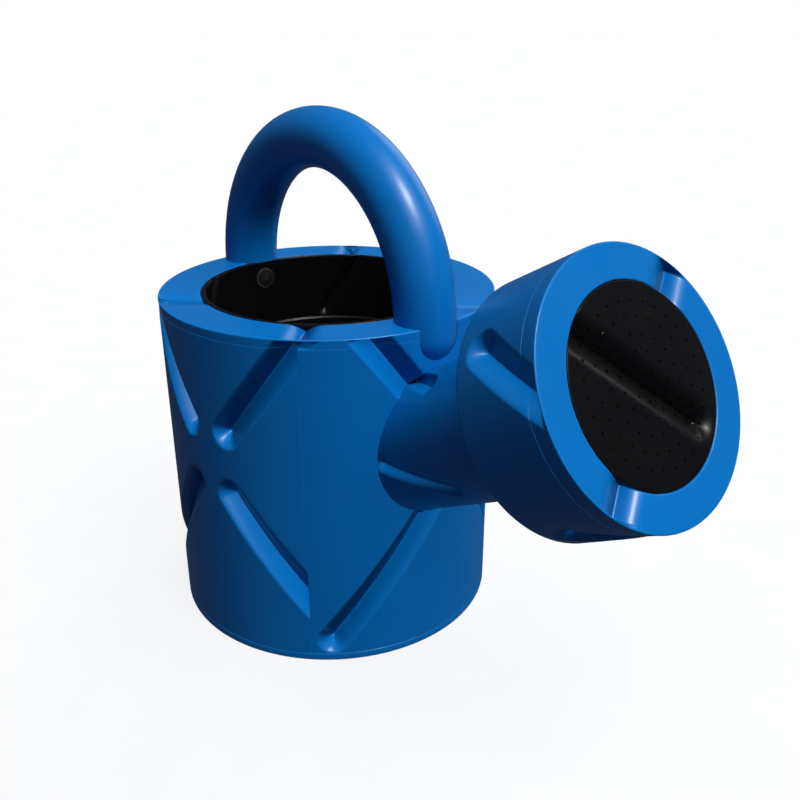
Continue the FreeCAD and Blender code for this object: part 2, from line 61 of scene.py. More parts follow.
BODY_RADIUS = corner("base_plate", True, 0)
BODY_HEIGHT = corner("rim_ring", True, 2)
BASE_TOP = corner("shell_panel_left", False, 2)
RING_LOW = corner("shell_panel_left", True, 2)
LINER_LOW = corner("inner_liner", False, 2)
HANDLE_RADIUS = corner("handle_tube", True, 1)
HANDLE_REACH = corner("handle_tube", True, 0) - HANDLE_RADIUS
ARCH_HEIGHT = corner("handle_tube", True, 2) - HANDLE_REACH - HANDLE_RADIUS
LEG_HEIGHT = corner("handle_tube", False, 2) + HANDLE_RADIUS
TURN = next(joint for joint in frame["joints"] if joint["name"] == "rose_turn")
ROSE_FACE = Vector(TURN["pos_m"])
ROSE_AXIS = Vector(TURN["axis"]).normalized()

# handle sections
HANDLE_STEP = 2.0
HANDLE_SIDES = 72
# seams and edges
SHARP_ANGLE = math.radians(50)
HAIRLINE = 0.05
SEAM_GAP = 0.08
EDGE = 0.6
SEAM_EDGE = 0.1
# can
PANEL_WALL = 7.5
RING_INNER = 75.7
BAND = 4.0
MOUTH = 75.5
LINER_WALL = 3.0
LINER_STEP = 157.0
LINER_STEP_IN = 1.2
LINER_FOOT = 69.0
REST_OUTER = 64.0
REST_INNER = 60.0
SCREW_CIRCLE = 87.0
SCREW_ANGLE = 30
# spout
SPOUT_BORE = 33.0
SPOUT_BACK = -186.0
SPOUT_ROOT = -147.8
SPOUT_ROOT_RADIUS = 37.3
SPOUT_TIP = -50.5
SPOUT_TIP_RADIUS = 40.3
COUNTERBORE = 37.05
COUNTERBORE_DEPTH = 3.5
OUTLET_RADIUS = 32.75
BORE_BACK = -205.0
BORE_FRONT = -140.0
HOLE_BACK = -200.0
HOLE_FRONT = -90.0
# rose
ROSE_RADIUS = corner("rose_ring", True, 1)
ROSE_LENGTH = 50.0
ROSE_WALL = 6.5
JOURNAL_BORE = 32.05
COLLAR_RADIUS = 39.0
COLLAR_END = 5.2
BACK_WALL = 3.0
RING_LENGTH = 8.0
THREAD_INNER = 53.5
THREAD_OUTER = 56.4
THREAD_LENGTH = 6.0
PLATE_OPENING = 46.0
PLATE_SEAT = 42.5
PLATE_THICKNESS = 5.5
PLATE_RADIUS = 45.8
LIP_INNER = 40.5
LIP_OUTER = 42.3
LIP_LENGTH = 1.0
HOLE_RADIUS = 0.6
HOLE_SPACING = 7.4
HOLE_RINGS = 6


# ---- profiles: rounded outlines in radius and height

def rounded(corners, step):
    """Closed outline through the corners (radius, height, rounding), sampled every 'step' millimetres."""
    count = len(corners)
    points = [np.array(spot[:2], float) for spot in corners]
    path = []
    for k in range(count):
        here = points[k]
        back = points[k - 1] - here
        ahead = points[(k + 1) % count] - here
        back_length = np.linalg.norm(back)
        ahead_length = np.linalg.norm(ahead)
        back = back / back_length
        ahead = ahead / ahead_length
        half = math.acos(max(-1.0, min(1.0, float(back @ ahead)))) / 2
        radius = min(corners[k][2], 0.45 * min(back_length, ahead_length) * math.tan(half))
        if radius < 1e-6 or half > math.pi / 2 - 1e-3:
            path.append(here)
            continue
        centre = here + (back + ahead) / np.linalg.norm(back + ahead) * radius / math.sin(half)
        start = here + back * radius / math.tan(half) - centre
        end = here + ahead * radius / math.tan(half) - centre
        sweep = math.pi - 2 * half
        for share in np.linspace(0, 1, 6):
            blended = start * math.sin((1 - share) * sweep) + end * math.sin(share * sweep)
            path.append(centre + blended / math.sin(sweep))
    dense = []
    for k, point in enumerate(path):
        following = path[(k + 1) % len(path)]
        pieces = max(1, int(np.linalg.norm(following - point) / step))
        dense += [point + (following - point) * share / pieces for share in range(pieces)]
    return np.array(dense)


def inset(outline, distance):
    """The outline shrunk towards its inside by a small distance."""
    ahead = np.roll(outline, -1, axis=0) - np.roll(outline, 1, axis=0)
    ahead = ahead / np.maximum(np.linalg.norm(ahead, axis=1, keepdims=True), 1e-9)
    outward = np.stack([ahead[:, 1], -ahead[:, 0]], axis=1)
    x, y = outline[:, 0], outline[:, 1]
    if np.sum(x * np.roll(y, -1) - np.roll(x, -1) * y) < 0:
        outward = -outward
    return outline - outward * distance


# ---- meshes

def make_mesh(name, points, faces, body):
    """Object from points in millimetres, shaded smooth except at its sharp corners."""
    mesh = bpy.data.meshes.new(name)
    mesh.from_pydata((np.asarray(points) * MM).tolist(), [], faces)
    mesh.update()
    piece = bpy.data.objects.new(name, mesh)
    bpy.context.scene.collection.objects.link(piece)
    mesh.polygons.foreach_set("use_smooth", [True] * len(mesh.polygons))
    mesh.set_sharp_from_angle(angle=SHARP_ANGLE)
    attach(piece, body)
    return piece


def lathe(name, outline, angles, body, warp=None, closed=True, ends=0.0, frame_matrix=None):
    """Outline turned about Z through 'angles', each point moved by warp(angle, radius, height).

    An open sweep gets end caps whose edges are rounded by 'ends' millimetres.
    """
    rows = []
    for angle in angles:
        ring = outline
        if ends:
            away = min(angle - angles[0], angles[-1] - angle) * BODY_RADIUS
            if away < ends:
                ring = inset(outline, ends - math.sqrt(max(0.0, ends ** 2 - (ends - away) ** 2)))
        rows.append(ring)
    shape = np.array(rows)
    angle = np.asarray(angles)[:, None] + np.zeros(shape.shape[:2])
    radius, height = shape[..., 0], shape[..., 1]
    sunk = np.zeros(shape.shape[:2])
    if warp:
        warped_radius, warped_height = warp(angle, radius, height)
        sunk = np.hypot(warped_radius - radius, warped_height - height)
        radius, height = warped_radius, warped_height
    points = np.stack([radius * np.cos(angle), radius * np.sin(angle), height], axis=-1)
    count_a, count_p = points.shape[:2]
    flat = points.reshape(-1, 3)
    if frame_matrix is not None:
        turn = np.array(frame_matrix.to_3x3())
        flat = flat @ turn.T + np.array(frame_matrix.translation) / MM
    number = np.arange(count_a * count_p).reshape(count_a, count_p)
    pole = outline[:, 0] < 1e-6
    number[:, pole] = number[0, pole]
    first = np.arange(count_a if closed else count_a - 1)
    x, y = outline[:, 0], outline[:, 1]
    clockwise = np.sum(x * np.roll(y, -1) - np.roll(x, -1) * y) < 0
    faces = []
    for p in range(count_p):
        up = (p + 1) % count_p
        if pole[p] and pole[up]:
            continue
        after = (first + 1) % count_a
        loop = [number[first, p], number[after, p], number[after, up], number[first, up]]
        if pole[p]:
            loop = [loop[0], loop[2], loop[3]]
        elif pole[up]:
            loop = loop[:3]
        faces += np.stack(loop[::-1] if clockwise else loop, axis=-1).tolist()
    if not closed:
        low = number[0].tolist()
        high = number[-1].tolist()
        faces.append(low if clockwise else low[::-1])
        faces.append(high[::-1] if clockwise else high)
    used = sorted({vertex for face in faces for vertex in face})
    renumber = {old: new for new, old in enumerate(used)}
    faces = [[renumber[vertex] for vertex in face] for face in faces]
    piece = make_mesh(name, flat[used], faces, body)
    store(piece, "sunk", sunk.reshape(-1)[used])
    return piece


def store(piece, name, values):
    """Keep one number for each point of a mesh, for its material."""
    attribute = piece.data.attributes.new(name, "FLOAT", "POINT")
    attribute.data.foreach_set("value", np.asarray(values, np.float32))


def cut_away(piece, cutters):
    """Boolean difference, applied, with the boolean modifiers taken off afterwards."""
    for cutter in cutters:
        modifier = piece.modifiers.new("cut", "BOOLEAN")
        modifier.object = cutter
        modifier.operation = "DIFFERENCE"
        modifier.solver = "EXACT"
    bpy.context.view_layer.update()
    graph = bpy.context.evaluated_depsgraph_get()
    mesh = bpy.data.meshes.new_from_object(piece.evaluated_get(graph))
    piece.modifiers.clear()
    old = piece.data
    piece.data = mesh
    bpy.data.meshes.remove(old)
    mesh.name = piece.name
    mesh.set_sharp_from_angle(angle=SHARP_ANGLE)
    return piece


def drop(pieces):
    """Take cutting shapes out of the scene."""
    for piece in pieces:
        bpy.data.objects.remove(piece)


# ---- grooves: V channels with softened valley and shoulders, as depth over a developed surface

def soft_v(distance, half_width, depth, valley=0.4, hollow=1.3):
    """Depth of a groove at a distance from its centreline.

    It is steepest at its valley and eases out to its shoulders.
    """
    rounded_distance = np.sqrt(distance ** 2 + valley ** 2) - valley
    rise = np.clip(1 - rounded_distance / half_width, 0, 1)
    return depth * rise ** hollow


def faded(depth, room):
    """Depth run out to nothing over the last millimetre before a lip, 'room' from the edge."""
    share = np.clip((room - LIP + 0.5) / 1.0, 0, 1)
    return depth * share * share * (3 - 2 * share)


def from_segment(a, b, start, end):
    """Distance from points (a, b) to a straight segment."""
    along = np.array(end, float) - np.array(start, float)
    share = ((a - start[0]) * along[0] + (b - start[1]) * along[1]) / float(along @ along)
    share = np.clip(share, 0, 1)
    return np.hypot(a - start[0] - share * along[0], b - start[1] - share * along[1])


LIP = 1.3
FACE_HOLLOW = 2.4
# crosses of the jacket: angles in degrees, from each panel's middle
GROOVE_HALF_WIDTH = 9.3
GROOVE_DEPTH = 6.0
CROSS_ANGLE = 10.5
CROSS_HEIGHT = 122.5
CROSS_REACH = 8.5
RISE = 806.0 / 360
TOP_ARM = 36.0
LONG_ARM = 39.5
SHORT_ARM = 29.0
# rim ring: one groove across the top and one beside the middle
RIM_HALF_WIDTH = 11.0
RIM_DEPTH = 3.4
RIM_ANGLE = 45
CHORD_OFFSET = -37.0
# liner
LINER_ANGLE = 147
LINER_HEIGHT = 163.0
LINER_TURN = 26
LINER_RISE = 1.85
LINER_HALF_WIDTH = 5.0
LINER_DEPTH = 1.6
# spout, drum and front ring of the rose
SPOUT_GROOVE_ANGLE = 2.8
SPOUT_GROOVE_LOW = -153.0
SPOUT_GROOVE_RISE = 445.0 / 360
SPOUT_GROOVE_TURN = 35.0
SPOUT_HALF_WIDTH = 6.0
SPOUT_DEPTH = 2.8
DRUM_GROOVE_ANGLE = 55.0
DRUM_GROOVE_LOW = -33.5
DRUM_GROOVE_RISE = 464.0 / 360
DRUM_GROOVE_TURN = 34.0
DRUM_HALF_WIDTH = 9.5
DRUM_DEPTH = 4.5
FACE_ANGLE = 136.5
FACE_HALF_WIDTH = 13.5
FACE_DEPTH = 4.0
# plate: one long groove that starts beyond the edge
PLATE_GROOVE_ANGLE = 46.5
PLATE_GROOVE_START = -60.0
PLATE_GROOVE_END = 34.0
PLATE_HALF_WIDTH = 11.5
PLATE_DEPTH = 3.5
PLATE_VALLEY = 0.3
PLATE_HOLLOW = 1.8


def cross_arms():
    """Centrelines (start, end) of one cross, as (angle from the panel's middle, height)."""
    upper = CROSS_HEIGHT + CROSS_REACH * RISE
    lower = CROSS_HEIGHT - CROSS_REACH * RISE
    left = CROSS_ANGLE - CROSS_REACH
    right = CROSS_ANGLE + CROSS_REACH
    return [
        ((right, upper), (right + TOP_ARM, upper + TOP_ARM * RISE)),
        ((left, upper), (left - TOP_ARM, upper + TOP_ARM * RISE)),
        ((left, lower), (left - LONG_ARM, lower - LONG_ARM * RISE)),
        ((right, lower), (right + SHORT_ARM, lower - SHORT_ARM * RISE)),
    ]


def jacket_depth(angle, height, middles):
    """Groove depth on the jacket, for the crosses of the panels with these middle angles."""
    depth = np.zeros(np.broadcast(angle, height).shape)
    for middle in middles:
        arc = (np.degrees(angle) - middle + 180) % 360 - 180
        for start, end in cross_arms():
            first = (math.radians(start[0]) * BODY_RADIUS, start[1])
            last = (math.radians(end[0]) * BODY_RADIUS, end[1])
            distance = from_segment(np.radians(arc) * BODY_RADIUS, height, first, last)
            depth = np.maximum(depth, soft_v(distance, GROOVE_HALF_WIDTH, GROOVE_DEPTH))
    return faded(depth, BODY_HEIGHT - height)


def winding_depth(angle, height, radius, starts, low, rise, turn, half_width, depth):
    """Depth of right-handed winding grooves.

    Each starts at (start angle, low) and climbs 'rise' a degree through 'turn' degrees.
    """
    total = np.zeros(np.broadcast(angle, height).shape)
    for start in starts:
        arc = (np.degrees(angle) - start - turn / 2 + 180) % 360 - 180 + turn / 2
        last = (math.radians(turn) * radius, low + rise * turn)
        distance = from_segment(np.radians(arc) * radius, height, (0.0, low), last)
        total = np.maximum(total, soft_v(distance, half_width, depth))
    return total


def line_depth(x, y, angle, offset, half_width, depth):
    """Depth of a straight groove across a face, in a direction and at a distance from its centre."""
    distance = -x * math.sin(math.radians(angle)) + y * math.cos(math.radians(angle)) - offset
    return soft_v(np.abs(distance), half_width, depth, hollow=FACE_HOLLOW)


QUARTERS = (0, 90, 180, 270)


def around(step, radius=BODY_RADIUS):
    """Evenly spaced angles of a full turn, about 'step' millimetres apart at a radius."""
    count = int(2 * math.pi * radius / step)
    return 2 * math.pi * np.arange(count) / count


def sweep_angles(start, end, step, fine):
    """Angles for an open sweep, with closer steps in the last 'fine' millimetres at each end."""
    edge = math.degrees(fine / BODY_RADIUS)
    near = [start + edge * share ** 2 for share in np.linspace(0, 1, 6)[:-1]]
    middle = np.linspace(start + edge, end - edge, int(math.radians(end - start) * BODY_RADIUS / step))
    far = [start + end - angle for angle in reversed(near)]
    return np.radians(np.concatenate([near, middle, far]))


# ---- the can's shells

def leg_cutter(name, extra, angle):
    """Grown copy of a handle leg's straight end, for cutting its sockets."""
    radius = HANDLE_RADIUS + extra
    outline = [(0.0, LEG_HEIGHT - radius)]
    for turn in np.linspace(-85, 0, 18):
        turn = math.radians(turn)
        outline.append((radius * math.cos(turn), LEG_HEIGHT + radius * math.sin(turn)))
    outline += [(radius, BODY_HEIGHT + 30), (0.0, BODY_HEIGHT + 30)]
    place = Matrix.Rotation(math.radians(angle), 4, "Z") @ Matrix.Translation((HANDLE_REACH * MM, 0, 0))
    return lathe(name, np.array(outline), around(1.2, radius=radius), "can", frame_matrix=place)


def rose_matrix():
    """Rose frame: local Z out along the spout with zero at the rose's face, local X down and forward."""
    y_axis = Vector((0, 1, 0))
    x_axis = y_axis.cross(ROSE_AXIS)
    turn = Matrix((x_axis, y_axis, ROSE_AXIS)).transposed().to_4x4()
    return Matrix.Translation(ROSE_FACE) @ turn


ROSE = rose_matrix()


def make_panels(blue):
    """The jacket's four wall sections, with the handle's sockets and the spout's hole."""
    inner = BODY_RADIUS - PANEL_WALL
    half = 45 - math.degrees(SEAM_GAP / 2 / BODY_RADIUS)
    outline = rounded([
        (inner, BASE_TOP + HAIRLINE, 0.5), (BODY_RADIUS, BASE_TOP + HAIRLINE, SEAM_EDGE),
        (BODY_RADIUS, RING_LOW - HAIRLINE, SEAM_EDGE), (inner, RING_LOW - HAIRLINE, 0.5),
    ], 0.9)
    for side, middle in zip(("front", "left", "rear", "right"), QUARTERS):
        def warp(angle, radius, height, middle=middle):
            depth = jacket_depth(angle, height, [middle])
            return radius - depth * np.clip((radius - inner) / PANEL_WALL, 0, 1), height

        angles = sweep_angles(middle - half, middle + half, 0.9, SEAM_EDGE)
        panel = lathe(f"jacket_{side}", outline, angles, "can", warp, closed=False, ends=SEAM_EDGE)
        cutters = []
        if side in ("front", "rear"):
            cutters.append(leg_cutter(f"leg_cutter_{side}", 0.35, middle))
        if side == "front":
            hole = [
                (0.0, HOLE_BACK), (SPOUT_ROOT_RADIUS - 1.2, HOLE_BACK),
                (SPOUT_ROOT_RADIUS + 1.9, HOLE_FRONT), (0.0, HOLE_FRONT),
            ]
            angles = around(1.2, radius=SPOUT_ROOT_RADIUS)
            cutters.append(lathe("hole_cutter", np.array(hole), angles, "can", frame_matrix=ROSE))
        if cutters:
            cut_away(panel, cutters)
            drop(cutters)
        finish_piece(panel, f"shell_panel_{side}", blue)


def make_rim(blue):
    """Flat ring round the mouth, with its own top grooves and the jacket's running out over it."""
    outline = rounded([
        (RING_INNER, RING_LOW, 0.3), (BODY_RADIUS, RING_LOW, SEAM_EDGE), (BODY_RADIUS, BODY_HEIGHT, EDGE),
        (RING_INNER, BODY_HEIGHT, 0.8),
    ], 0.9)
    width = BODY_RADIUS - RING_INNER
    thickness = BODY_HEIGHT - RING_LOW

    def warp(angle, radius, height):
        side = jacket_depth(angle, height, QUARTERS)
        x, y = radius * np.cos(angle), radius * np.sin(angle)
        across = line_depth(x, y, -RIM_ANGLE, 0, RIM_HALF_WIDTH, RIM_DEPTH)
        chord = line_depth(x, y, RIM_ANGLE, CHORD_OFFSET, RIM_HALF_WIDTH, RIM_DEPTH)
        top = faded(np.maximum(across, chord), BODY_RADIUS - radius)
        radius = RING_INNER + (radius - RING_INNER) * (1 - side / width)
        return radius, RING_LOW + (height - RING_LOW) * (1 - top / thickness)

    ring = lathe("rim", outline, around(0.9), "can", warp)
    cutters = [leg_cutter(f"rim_cutter_{angle}", 0.25, angle) for angle in (0, 180)]
    cut_away(ring, cutters)
    drop(cutters)
    finish_piece(ring, "rim_ring", blue)


def make_base(blue):
    """Bottom plate with a softened foot, open at the screws' countersinks."""
    top = BASE_TOP - HAIRLINE
    rest = LINER_LOW - HAIRLINE
    outline = rounded([
        (0.0, 0.0, 0.0), (BODY_RADIUS, 0.0, 1.2), (BODY_RADIUS, top, 0.3), (REST_OUTER, top, 0.2),
        (REST_OUTER, rest, 0.3), (REST_INNER, rest, 0.3), (REST_INNER, top, 0.2), (0.0, top, 0.0),
    ], 2.5)
    base = lathe("foot", outline, around(2.5), "can")
    head, shank, depth, through = 4.2, 1.8, 3.6, 7.0
    sunk = np.array([
        (0.0, -1.0), (head, -1.0), (head, depth), (shank, depth), (shank, through), (0.0, through),
    ])
    cutters = []
    for quarter in QUARTERS:
        for side in (-SCREW_ANGLE, SCREW_ANGLE):
            turn = Matrix.Rotation(math.radians(quarter + side), 4, "Z")
            place = turn @ Matrix.Translation((SCREW_CIRCLE * MM, 0, 0))
            cutters.append(lathe("sink", sunk, around(0.8, radius=4), "can", frame_matrix=place))
    cut_away(base, cutters)
    drop(cutters)
    finish_piece(base, "base_plate", blue)


def handle_sections():
    """Middle, outward direction and radius of each section: one end, the arch, the other end."""
    def leg_end(side):
        return [
            (side * HANDLE_REACH, LEG_HEIGHT - HANDLE_RADIUS * math.cos(turn), side, 0.0,
             HANDLE_RADIUS * math.sin(turn))
            for turn in np.radians(np.linspace(0, 90, 16)[1:])
        ]

    arch = []
    for angle in np.linspace(0, math.pi, int(math.pi * HANDLE_REACH / HANDLE_STEP)):
        out, up = math.cos(angle), math.sin(angle)
        arch.append((HANDLE_REACH * out, ARCH_HEIGHT + HANDLE_REACH * up, out, up, HANDLE_RADIUS))
    return leg_end(1.0) + arch + leg_end(-1.0)[::-1]


def make_handle(blue):
    """Tube along an arch with straight legs and round ends, swept with evenly spaced sections."""
    sections = handle_sections()
    count = HANDLE_SIDES
    points = []
    for x, z, nx, nz, radius in sections:
        for k in range(count):
            angle = 2 * math.pi * k / count
            out = radius * math.cos(angle)
            points.append((x + nx * out, radius * math.sin(angle), z + nz * out))
    faces = []
    for s in range(len(sections) - 1):
        for k in range(count):
            after = (k + 1) % count
            low, high = s * count, (s + 1) * count
            faces.append((low + k, low + after, high + after, high + k))
    low, high = len(points), len(points) + 1
    for side in (1, -1):
        points.append((side * HANDLE_REACH, 0, LEG_HEIGHT - HANDLE_RADIUS))
    end = (len(sections) - 1) * count
    for k in range(count):
        after = (k + 1) % count
        faces.append((low, after, k))
        faces.append((high, end + k, end + after))
    handle = make_mesh("handle", points, faces, "can")
    edge = RING_INNER + BAND + 0.2
    top = BODY_HEIGHT + 0.1
    band = np.array([(0.0, 100.0), (edge, 100.0), (edge, top), (0.0, top)])
    cutter = lathe("band_cutter", band, around(2.0), "can")
    cut_away(handle, [cutter])
    drop([cutter])
    finish_piece(handle, "handle_tube", blue)


def make_liner(black):
    """Black inner vessel with a step, pressed grooves and the outlet's bore."""
    low = LINER_LOW
    inside = MOUTH - LINER_WALL
    top = BODY_HEIGHT - HAIRLINE
    outline = rounded([
        (0.6, low, 0.0), (LINER_FOOT, low, 3.0), (MOUTH - LINER_STEP_IN, LINER_STEP - 2, 1.0),
        (MOUTH, LINER_STEP, 1.0), (MOUTH, top, 0.7), (inside, top, 0.7), (inside, LINER_STEP, 0.8),
        (inside - LINER_STEP_IN, LINER_STEP - 1, 0.8), (LINER_FOOT - LINER_WALL, low + LINER_WALL, 4.0),
        (0.6, low + LINER_WALL, 0.0),
    ], 1.3)

    def warp(angle, radius, height):
        depth = np.zeros(radius.shape)
        start = (0.0, LINER_HEIGHT)
        end = (math.radians(-LINER_TURN) * inside, LINER_HEIGHT + LINER_TURN * LINER_RISE)
        for quarter in QUARTERS:
            arc = (np.degrees(angle) - LINER_ANGLE - quarter + 180) % 360 - 180
            distance = from_segment(np.radians(arc) * inside, height, start, end)
            depth = np.maximum(depth, soft_v(distance, LINER_HALF_WIDTH, LINER_DEPTH))
        return radius + depth * np.clip((MOUTH - radius) / LINER_WALL, 0, 1), height

    liner = lathe("liner", outline, around(1.1, radius=inside), "can", warp)
    bore = [(0.0, BORE_BACK), (OUTLET_RADIUS, BORE_BACK), (OUTLET_RADIUS, BORE_FRONT), (0.0, BORE_FRONT)]
    angles = around(1.5, radius=OUTLET_RADIUS)
    cutter = lathe("stub_cutter", np.array(bore), angles, "can", frame_matrix=ROSE)
    cut_away(liner, [cutter])
    drop([cutter])
    finish_piece(liner, "inner_liner", black)


# ---- spout and rose

def make_spout(blue):
    """Short slanted pipe, cut off where it enters the can."""
    slope = (SPOUT_TIP_RADIUS - SPOUT_ROOT_RADIUS) / (SPOUT_TIP - SPOUT_ROOT)
    back_radius = SPOUT_ROOT_RADIUS + (SPOUT_BACK - SPOUT_ROOT) * slope
    outline = rounded([
        (SPOUT_BORE, SPOUT_BACK, 0.3), (back_radius, SPOUT_BACK, 0.3), (SPOUT_TIP_RADIUS, SPOUT_TIP, 1.0),
        (COUNTERBORE, SPOUT_TIP, 0.3), (COUNTERBORE, SPOUT_TIP - COUNTERBORE_DEPTH, 0.2),
        (SPOUT_BORE, SPOUT_TIP - COUNTERBORE_DEPTH, 0.3),
    ], 0.9)

    def warp(angle, radius, height):
        starts = [SPOUT_GROOVE_ANGLE + quarter for quarter in QUARTERS]
        depth = winding_depth(angle, height, SPOUT_ROOT_RADIUS, starts, SPOUT_GROOVE_LOW,
                              SPOUT_GROOVE_RISE, SPOUT_GROOVE_TURN, SPOUT_HALF_WIDTH, SPOUT_DEPTH)
        wall = SPOUT_ROOT_RADIUS - SPOUT_BORE
        return radius - depth * np.clip((radius - SPOUT_BORE) / wall, 0, 1), height

    spout = lathe("spout", outline, around(0.8, radius=SPOUT_TIP_RADIUS), "can", warp, frame_matrix=ROSE)
    inner = BODY_RADIUS - PANEL_WALL - 0.5
    outline = np.array([(0.0, 20.0), (inner, 20.0), (inner, BODY_HEIGHT), (0.0, BODY_HEIGHT)])
    core = lathe("core_cutter", outline, around(2.0), "can")
    cut_away(spout, [core])
    drop([core])
    finish_piece(spout, "spout_tube", blue)


def drum_depth(angle, height):
    """Depth of the grooves that drum and front ring share."""
    starts = [DRUM_GROOVE_ANGLE + quarter for quarter in QUARTERS]
    depth = winding_depth(angle, height, ROSE_RADIUS, starts, DRUM_GROOVE_LOW, DRUM_GROOVE_RISE,
                          DRUM_GROOVE_TURN, DRUM_HALF_WIDTH, DRUM_DEPTH)
    return faded(depth, -height)


def make_rose(blue):
    """The rose's drum and its front ring."""
    front = -RING_LENGTH
    back = -ROSE_LENGTH
    inner = ROSE_RADIUS - ROSE_WALL
    shell_outline = rounded([
        (JOURNAL_BORE, back, 0.4), (ROSE_RADIUS, back, 1.4), (ROSE_RADIUS, front - HAIRLINE, SEAM_EDGE),
        (inner, front - HAIRLINE, 0.3), (inner, back + BACK_WALL, 1.0),
        (COLLAR_RADIUS, back + BACK_WALL, 0.5), (COLLAR_RADIUS, back + COLLAR_END, 0.4),
        (JOURNAL_BORE, back + COLLAR_END, 0.3),
    ], 0.8)

    def shell_warp(angle, radius, height):
        return radius - drum_depth(angle, height) * np.clip((radius - inner) / ROSE_WALL, 0, 1), height

    angles = around(0.8, radius=ROSE_RADIUS)
    shell = lathe("rose_drum", shell_outline, angles, "rose", shell_warp, frame_matrix=ROSE)
    finish_piece(shell, "rose_shell", blue)

    ring_outline = rounded([
        (THREAD_INNER, front - THREAD_LENGTH, 0.4), (THREAD_OUTER, front - THREAD_LENGTH, 0.4),
        (THREAD_OUTER, front, 0.2), (ROSE_RADIUS, front, SEAM_EDGE), (ROSE_RADIUS, 0, EDGE),
        (PLATE_OPENING, 0, 0.7), (PLATE_OPENING, -PLATE_THICKNESS, 0.2),
        (PLATE_SEAT, -PLATE_THICKNESS, 0.3), (PLATE_SEAT, front, 0.3), (THREAD_INNER, front, 0.3),
    ], 0.8)

    def ring_warp(angle, radius, height):
        side = drum_depth(angle, height) * np.clip((radius - inner) / ROSE_WALL, 0, 1)
        x, y = radius * np.cos(angle), radius * np.sin(angle)
        across = line_depth(x, y, FACE_ANGLE, 0, FACE_HALF_WIDTH, FACE_DEPTH)
        face = faded(across, ROSE_RADIUS - radius)
        share = np.clip((height - front) / RING_LENGTH, 0, 1)
        return radius - side, height - face * share

    ring = lathe("rose_bezel", ring_outline, angles, "rose", ring_warp, frame_matrix=ROSE)
    finish_piece(ring, "rose_ring", blue)


def make_plate(black):
    """Black front plate with one groove across it and rings of fine holes."""
    low = -PLATE_THICKNESS
    lip = -RING_LENGTH - LIP_LENGTH
    outline = rounded([
        (0.0, low, 0.0), (LIP_INNER, low, 0.2), (LIP_INNER, lip, 0.3), (LIP_OUTER, lip, 0.3),
        (LIP_OUTER, low, 0.2), (PLATE_RADIUS, low, 0.3), (PLATE_RADIUS, -HAIRLINE, 0.5),
        (0.0, -HAIRLINE, 0.0),
    ], 0.8)
    direction = math.radians(PLATE_GROOVE_ANGLE)

    def warp(angle, radius, height):
        along = radius * np.cos(angle - direction)
        across = radius * np.sin(angle - direction)
        distance = from_segment(along, across, (PLATE_GROOVE_START, 0.0), (PLATE_GROOVE_END, 0.0))
        depth = soft_v(distance, PLATE_HALF_WIDTH, PLATE_DEPTH, PLATE_VALLEY, PLATE_HOLLOW)
        share = np.clip((height + PLATE_THICKNESS) / PLATE_THICKNESS, 0, 1)
        return radius, height - depth * share

    angles = around(0.8, radius=PLATE_RADIUS)
    plate = lathe("rose_grille", outline, angles, "rose", warp, frame_matrix=ROSE)
    bore = np.array([(0.0, -8.0), (HOLE_RADIUS, -8.0), (HOLE_RADIUS, 1.0), (0.0, 1.0)])
    holes = []
    for ring in range(HOLE_RINGS):
        reach = HOLE_SPACING * ring * MM
        for step in range(max(1, 6 * ring)):
            turn = math.radians(step * 60 / ring) if ring else 0
            place = ROSE @ Matrix.Translation((reach * math.cos(turn), reach * math.sin(turn), 0))
            angles = around(0.4, radius=HOLE_RADIUS)
            holes.append(lathe("bore", bore, angles, "rose", frame_matrix=place))
    first = holes[0]
    with bpy.context.temp_override(active_object=first, selected_editable_objects=holes):
        bpy.ops.object.join()
    cut_away(plate, [first])
    drop([first])
    finish_piece(plate, "rose_plate", black)


# ---- materials

CRISPNESS = 1.2
FULL_WEAR = 0.35
BLUE = (0.0004, 0.155, 0.49)
BLUE_DEEP = (0.0004, 0.144, 0.46)
BLUE_WORN = (0.002, 0.185, 0.54)
BLACK = (0.002, 0.002, 0.0022)
BLACK_DEEP = (0.003, 0.003, 0.0033)
BLACK_WORN = (0.004, 0.004, 0.0044)
PAINT = (0.004, 0.004, 0.004)
PAINT_DEEP = (0.007, 0.007, 0.007)
PAINT_WORN = (0.008, 0.008, 0.008)


def material(name):
    """Material with its tree, its shader and the place on the object."""
    item = bpy.data.materials.new(name)
    item.use_nodes = True
    nodes = item.node_tree.nodes
    shader = next(node for node in nodes if node.type == "BSDF_PRINCIPLED")
    place = nodes.new("ShaderNodeTexCoord")
    return item, item.node_tree, shader, place.outputs["Object"]


def noise(tree, place, scale, detail=3.0, roughness=0.5, stretch=None):
    """Noise whose features are about 'scale' millimetres across."""
    if stretch:
        mapping = tree.nodes.new("ShaderNodeMapping")
        mapping.inputs["Scale"].default_value = stretch
        tree.links.new(place, mapping.inputs["Vector"])
        place = mapping.outputs["Vector"]
    node = tree.nodes.new("ShaderNodeTexNoise")
    node.inputs["Scale"].default_value = 1 / (scale * MM)
    node.inputs["Detail"].default_value = detail
    node.inputs["Roughness"].default_value = roughness
    tree.links.new(place, node.inputs["Vector"])
    return node.outputs["Fac"]


def ramp(tree, value, low, high, start=0.3, end=0.7):
    """Value mapped from [start, end] to [low, high]."""
    node = tree.nodes.new("ShaderNodeMapRange")
    node.inputs["From Min"].default_value = start
    node.inputs["From Max"].default_value = end
    node.inputs["To Min"].default_value = low
    node.inputs["To Max"].default_value = high
    tree.links.new(value, node.inputs["Value"])
    return node.outputs["Result"]


def mixed(tree, factor, first, second):
    """Colour between two others, each a plain colour or another node's output."""
    node = tree.nodes.new("ShaderNodeMix")
    node.data_type = "RGBA"
    tree.links.new(factor, node.inputs["Factor"])
    for socket, value in ((node.inputs[6], first), (node.inputs[7], second)):
        if isinstance(value, tuple):
            socket.default_value = (*value, 1)
        else:
            tree.links.new(value, socket)
    return node.outputs[2]


